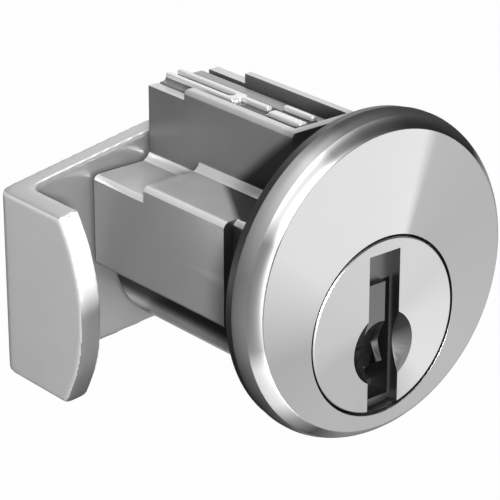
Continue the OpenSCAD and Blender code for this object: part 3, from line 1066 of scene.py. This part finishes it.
@dataclass
class FaceCap(Assembly):
    """The turned cap over the round face.

    Attributes:
        edge_mm: Width of its rounding.
        flat_r_mm: Radius of the face's flat middle.
        rim_slant: Turn from the front at which the rim begins, in degrees.
        hole_hair_mm: How far behind the face the painted shade on the hole's wall begins.
    """

    edge_mm: float = 0.06
    flat_r_mm: float = 12.35
    rim_slant: float = 62.0
    hole_hair_mm: float = 0.08

    def pieces(self) -> list[RoundedNode]:
        """The cap, with painted reflections on its face, bevel and rim and painted shade on the
        wall of its hole.

        Returns:
            The piece.
        """
        f = self.finishes
        zones = (
            Zone(f.turned_bevel, least_mm=self.flat_r_mm, slant=Turn(most=self.rim_slant)),
            Zone(f.turned_rim, least_mm=self.flat_r_mm, slant=Turn(least=self.rim_slant)),
            Zone(
                f.keyway_painted_shade,
                axis_mm=-self.plug_drop_mm,
                most_mm=self.hole_r_mm,
                front_mm=-self.face_t_mm + self.hole_hair_mm,
            ),
        )
        nickel = f.turned_nickel
        return [
            RoundedNode("face_cap", Body.LOCK, "satin_nickel", nickel, self.edge_mm, zones=zones)
        ]


@dataclass
class Cover(Assembly):
    """The pressed cover in the top of the pin tower.

    Attributes:
        cell_mm: Size of its mesh's cells.
        rib_foot_mm: Height above which its ribs get a painted highlight.
    """

    cell_mm: float = 0.09
    rib_foot_mm: float = 10.8

    def pieces(self) -> list[RoundedNode]:
        """The cover, with a painted highlight on its ribs.

        Returns:
            The piece.
        """
        steel, cell = self.finishes.pressed, self.cell_mm
        ribs = (Zone(self.finishes.rib_painted_highlight, foot_mm=self.rib_foot_mm),)
        slot = "pressed_steel"
        return [RoundedNode("tumbler_cover", Body.LOCK, slot, steel, cell_mm=cell, zones=ribs)]


@dataclass
class Plug(Assembly):
    """The plug and its stop washer.

    Attributes:
        edge_mm: Width of the plug's rounding.
        washer_edge_mm: Width of the washer's rounding.
        head_r_mm: Radius of the plug's head.
        head_hair_mm: How far inside that radius the painted shade on the head's side begins.
        slot_hair_mm: How far behind the face the painted shade on the keyway's walls begins.
        side_hair_mm: How far behind the face the painted shade on the head's side begins.
        sink_r_mm: Radius of the countersink in the plug's face.
        sink_hair_mm: How far outside that radius its finish ends.
        sink_drop_mm: Drop of the countersink below the plug's axis.
        sink_slant: How the countersink is turned from the front.
    """

    edge_mm: float = 0.05
    washer_edge_mm: float = 0.08
    head_r_mm: float = 7.3
    head_hair_mm: float = 0.2
    slot_hair_mm: float = 0.03
    side_hair_mm: float = 0.22
    sink_r_mm: float = 3.1
    sink_hair_mm: float = 0.05
    sink_drop_mm: float = SINK_DROP_MM
    sink_slant: Turn = Turn(15, 40)

    def pieces(self) -> list[RoundedNode]:
        """The plug and the washer.

        Returns:
            The pieces.
        """
        nickel, steel = self.finishes.plug_nickel, self.finishes.pressed
        on, zones = Body.PLUG, self.zones()
        return [
            RoundedNode("plug", on, "satin_nickel", nickel, self.edge_mm, zones=zones),
            RoundedNode("stop_washer", on, "pressed_steel", steel, self.washer_edge_mm),
        ]

    def zones(self) -> tuple[Zone, ...]:
        """Painted shade on the keyway's walls and the plug's side, and painted light and shade in
        the countersink.

        Returns:
            Their zones.
        """
        dark = self.finishes.keyway_painted_shade
        axis = -self.plug_drop_mm
        head = self.head_r_mm - self.head_hair_mm
        slot = -self.face_t_mm + self.slot_hair_mm
        side = -self.face_t_mm + self.side_hair_mm
        return (
            Zone(dark, axis, most_mm=head, front_mm=slot),
            Zone(dark, axis, least_mm=head, most_mm=self.hole_r_mm, front_mm=side),
            Zone(
                self.finishes.countersink,
                axis - self.sink_drop_mm,
                most_mm=self.sink_r_mm + self.sink_hair_mm,
                front_mm=slot,
                back_mm=0.0,
                slant=self.sink_slant,
            ),
        )


@dataclass
class Cam(Assembly):
    """The hook cam with the washer and the nut that hold it.

    Attributes:
        cell_mm: Size of the cells of the cam's mesh.
        washer_edge_mm: Width of the washer's rounding.
        nut_edge_mm: Width of the nut's rounding.
        edge_r_mm: Distance from the middle at which the flange's front edge begins.
        edge_back_mm: Rear end of that edge.
        plate_front_mm: Front of the plate behind the body.
        forwards: How faces that look forwards are turned from the front.
        upwards: How faces that look up are turned from straight up.
    """

    cell_mm: float = 0.2
    washer_edge_mm: float = 0.08
    nut_edge_mm: float = 0.06
    edge_r_mm: float = 12.0
    edge_back_mm: float = 16.0
    plate_front_mm: float = 20.0
    forwards: Turn = Turn(most=60)
    upwards: Turn = Turn(most=40)

    def pieces(self) -> list[RoundedNode]:
        """The cam, the washer and the nut.

        Returns:
            The pieces.
        """
        f, on, look = self.finishes, Body.PLUG, self.forwards
        zones = (
            Zone(f.cam_edge_painted_highlight, least_mm=self.edge_r_mm, back_mm=self.edge_back_mm, slant=look),
            Zone(f.cam_shade, front_mm=self.plate_front_mm, slant=look),
            Zone(f.cam_top_painted_shade, tilt=self.upwards),
        )
        cell = self.cell_mm
        return [
            RoundedNode("hook_cam", on, "plated_steel", f.cam_plate, cell_mm=cell, zones=zones),
            RoundedNode("lock_washer", on, "spring_steel", f.spring, self.washer_edge_mm),
            RoundedNode("cam_nut", on, "zinc_plated_steel", f.zinc_plate, self.nut_edge_mm),
        ]


@dataclass
class Pins(Assembly):
    """The pins and the springs above them.

    Attributes:
        pin_count: Number of pin chambers.
        pin_lift_mm: How far each driver pin lifts; not used.
        no_edge: No edge of a spring turns by more than this, in degrees, so none is rounded.
    """

    pin_count: int = 5
    pin_lift_mm: float = 2.0
    no_edge: float = 175.0

    def build(self) -> list[bpy.types.Object]:
        """Makes the springs and dresses the pins."""
        return [*map(self.spring, range(1, self.pin_count + 1)), *self.pins()]

    def spring(self, number: int) -> bpy.types.Object:
        """Puts a spring with a mesh of its own in the place of a solid one.

        Args:
            number: The chamber's number.

        Returns:
            The spring.
        """
        node, steel = f"driver_spring_{number}", self.finishes.spring
        solid = RoundedNode(node, Body.LOCK, "spring_steel", steel, least_angle=self.no_edge)
        spring = solid.build()
        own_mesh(spring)
        return spring

    def pins(self) -> list[bpy.types.Object]:
        """Gives the pins their finish.

        Returns:
            The pins, which are the CAD's own solids.
        """
        brass = self.finishes.brass.build()
        pins = [node for name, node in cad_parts.items() if "pin_" in name]
        for pin in pins:
            pin.data.materials.clear()
            pin.data.materials.append(brass)
        return pins


@dataclass(frozen=True)
class SoftBox:
    """A square lamp that looks at the lock.

    Attributes:
        name: The lamp's name.
        way: Direction from the lock to the lamp.
        size_mm: Its side.
        glow: How bright its face looks, where 1 is white.
        distance_mm: Its distance.
    """

    name: str
    way: Place
    size_mm: float
    glow: float
    distance_mm: float = 300.0

    def build(self) -> None:
        """Adds the lamp to the scene."""
        data = bpy.data.lights.new(self.name, "AREA")
        data.shape = "SQUARE"
        data.size = self.size_mm * MM
        data.energy = self.glow * math.pi * (self.size_mm * MM) ** 2
        lamp = add_object(self.name, data)
        towards = Vector(self.way).normalized()
        lamp.location = towards * self.distance_mm * MM
        aim(lamp, -towards, "-Z")


@dataclass(frozen=True)
class Flag:
    """A dark card beside the lock, which polished metal reflects and the camera looks through.

    Attributes:
        name: The card's name.
        centre_mm: Its middle.
        faces: The way that it faces.
        size_mm: Its side.
        tone: Its grey.
        roughness: Its roughness.
    """

    name: str
    centre_mm: Place
    faces: Place
    size_mm: float
    tone: float = 0.02
    roughness: float = 0.9

    def build(self) -> None:
        """Adds the card to the scene."""
        card = MeshTools.sheet(self.name, self.size_mm * MM / 2)
        card.location = Vector(self.centre_mm) * MM
        aim(card, Vector(self.faces), "Z")
        material = bpy.data.materials.new(self.name)
        board = NodeBoard(material)
        shader = board.nodes["Principled BSDF"]
        board.feed(shader, {"Base Color": opaque(grey(self.tone)), "Roughness": self.roughness})
        clear = board.add("BsdfTransparent").outputs["BSDF"]
        reflected = board.add("LightPath").outputs["Is Glossy Ray"]
        board.show_mix(reflected, clear, shader.outputs["BSDF"])
        card.data.materials.append(material)


@dataclass
class Studio:
    """The floor, the lamps, the cards, the world and the camera.

    Attributes:
        floor_half: Half the floor's side, in metres.
        floor_drop_mm: Drop of the floor below the face's centre.
        floor_tone: Grey of the floor under the lamps.
        floor_roughness: Its roughness.
        floor_glow: Share of plain white in what the camera and the reflections see of it.
        low_sky: Height of a unit direction up to which the world is as light as its horizon.
        high_sky: Height of a unit direction from which it is as dark as overhead.
        horizon: Light of the world at the horizon.
        zenith: Light of the world overhead.
        azimuth: The camera's turn from the front, in degrees.
        elevation: The camera's angle above level, in degrees.
        distance_mm: The camera's distance.
        target_mm: What the camera looks at.
        lens_mm: The camera's focal length.
        sensor_mm: Width of the camera's sensor.
        near: Distance from which the camera sees, in metres.
        far: Distance up to which it sees, in metres.
        lamps: The lamps.
        flags: The dark cards.
    """

    floor_half: float = 0.6
    floor_drop_mm: float = 30.0
    floor_tone: float = 0.12
    floor_roughness: float = 0.9
    floor_glow: float = 0.985
    low_sky: float = 0.1
    high_sky: float = 0.7
    horizon: float = 0.2
    zenith: float = 0.06
    azimuth: float = -40.0
    elevation: float = 23.0
    distance_mm: float = 200.3
    target_mm: Place = (-3.57, 8.8, -0.20)
    lens_mm: float = 180.0
    sensor_mm: float = 36.0
    near: float = 0.01
    far: float = 10.0
    lamps: tuple[SoftBox, ...] = (
        SoftBox("key", (-0.5, -0.75, 0.28), size_mm=44, glow=200.0),
        SoftBox("top_box", (0.1, 0.1, 0.99), size_mm=130, glow=18.0),
        SoftBox("left_box", (-0.62, -0.22, 0.75), size_mm=70, glow=7.0),
        SoftBox("back_box", (0.59, 0.72, 0.42), size_mm=170, glow=0.9),
    )
    flags: tuple[Flag, ...] = (
        Flag("left_flag", (-75, -16, -24), faces=(0.93, 0.2, 0.3), size_mm=38),
        Flag("high_flag", (120, 0, 185), faces=(-0.55, 0, -0.83), size_mm=150),
        Flag("low_flag", (-63, 73, -28), faces=(0, 0, 1), size_mm=136),
    )

    def build(self) -> None:
        """Sets up everything that isn't the lock."""
        bpy.context.scene.view_settings.view_transform = "Standard"
        self.world()
        self.floor()
        for part in (*self.lamps, *self.flags):
            part.build()
        self.camera()

    def world(self) -> None:
        """Adds a surrounding that is light at the horizon and dark overhead."""
        world = bpy.data.worlds.new("studio")
        bpy.context.scene.world = world
        board = NodeBoard(world)
        place = board.add("TexCoord").outputs["Generated"]
        limits = {
            "Value": board.add("SeparateXYZ", {"Vector": place}).outputs["Z"],
            "From Min": self.low_sky,
            "From Max": self.high_sky,
            "To Min": self.horizon,
            "To Max": self.zenith,
        }
        light = board.add("MapRange", limits).outputs["Result"]
        board.feed(board.nodes["Background"], {"Color": light})

    def floor(self) -> None:
        """Adds a white floor below the lock, which keeps a faint shadow."""
        floor = MeshTools.sheet("floor", self.floor_half)
        floor.location.z = -self.floor_drop_mm * MM
        material = bpy.data.materials.new("white_floor")
        board = NodeBoard(material)
        shader = board.nodes["Principled BSDF"]
        tone = opaque(grey(self.floor_tone))
        board.feed(shader, {"Base Color": tone, "Roughness": self.floor_roughness})
        white = board.add("Emission", {"Color": opaque(grey(1.0))}).outputs["Emission"]
        rays = board.add("LightPath").outputs
        seen = rays["Is Camera Ray"]
        for ray in ("Is Glossy Ray", "Is Transmission Ray"):
            either = board.add("Math", {0: seen, 1: rays[ray]}, operation="MAXIMUM")
            seen = either.outputs["Value"]
        share = board.add("Math", {0: seen, 1: self.floor_glow}, operation="MULTIPLY")
        board.show_mix(share.outputs["Value"], shader.outputs["BSDF"], white)
        floor.data.materials.append(material)

    def camera(self) -> None:
        """Sets the camera at the photograph's angle."""
        around = math.radians(self.azimuth)
        above = math.radians(self.elevation)
        level = math.cos(above)
        back = Vector((math.sin(around) * level, -math.cos(around) * level, math.sin(above)))
        data = bpy.data.cameras.new("camera")
        data.lens = self.lens_mm
        data.sensor_width = self.sensor_mm
        data.clip_start = self.near
        data.clip_end = self.far
        camera = add_object("camera", data)
        camera.location = (Vector(self.target_mm) + back * self.distance_mm) * MM
        aim(camera, -back, "-Z")
        bpy.context.scene.camera = camera


def main() -> None:
    """Builds the lock and the studio, and logs each piece's face count."""
    logging.basicConfig(level=logging.INFO, format="%(name)s: %(message)s")
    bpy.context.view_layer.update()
    finishes = Finishes()
    for assembly in (Casting, FaceCap, Cover, Plug, Cam, Pins):
        for piece in assembly(finishes).build():
            log.info("%s: %d faces", piece.name, len(piece.data.polygons))
    Studio().build()
    bpy.context.view_layer.update()


if __name__ == "__main__":
    main()
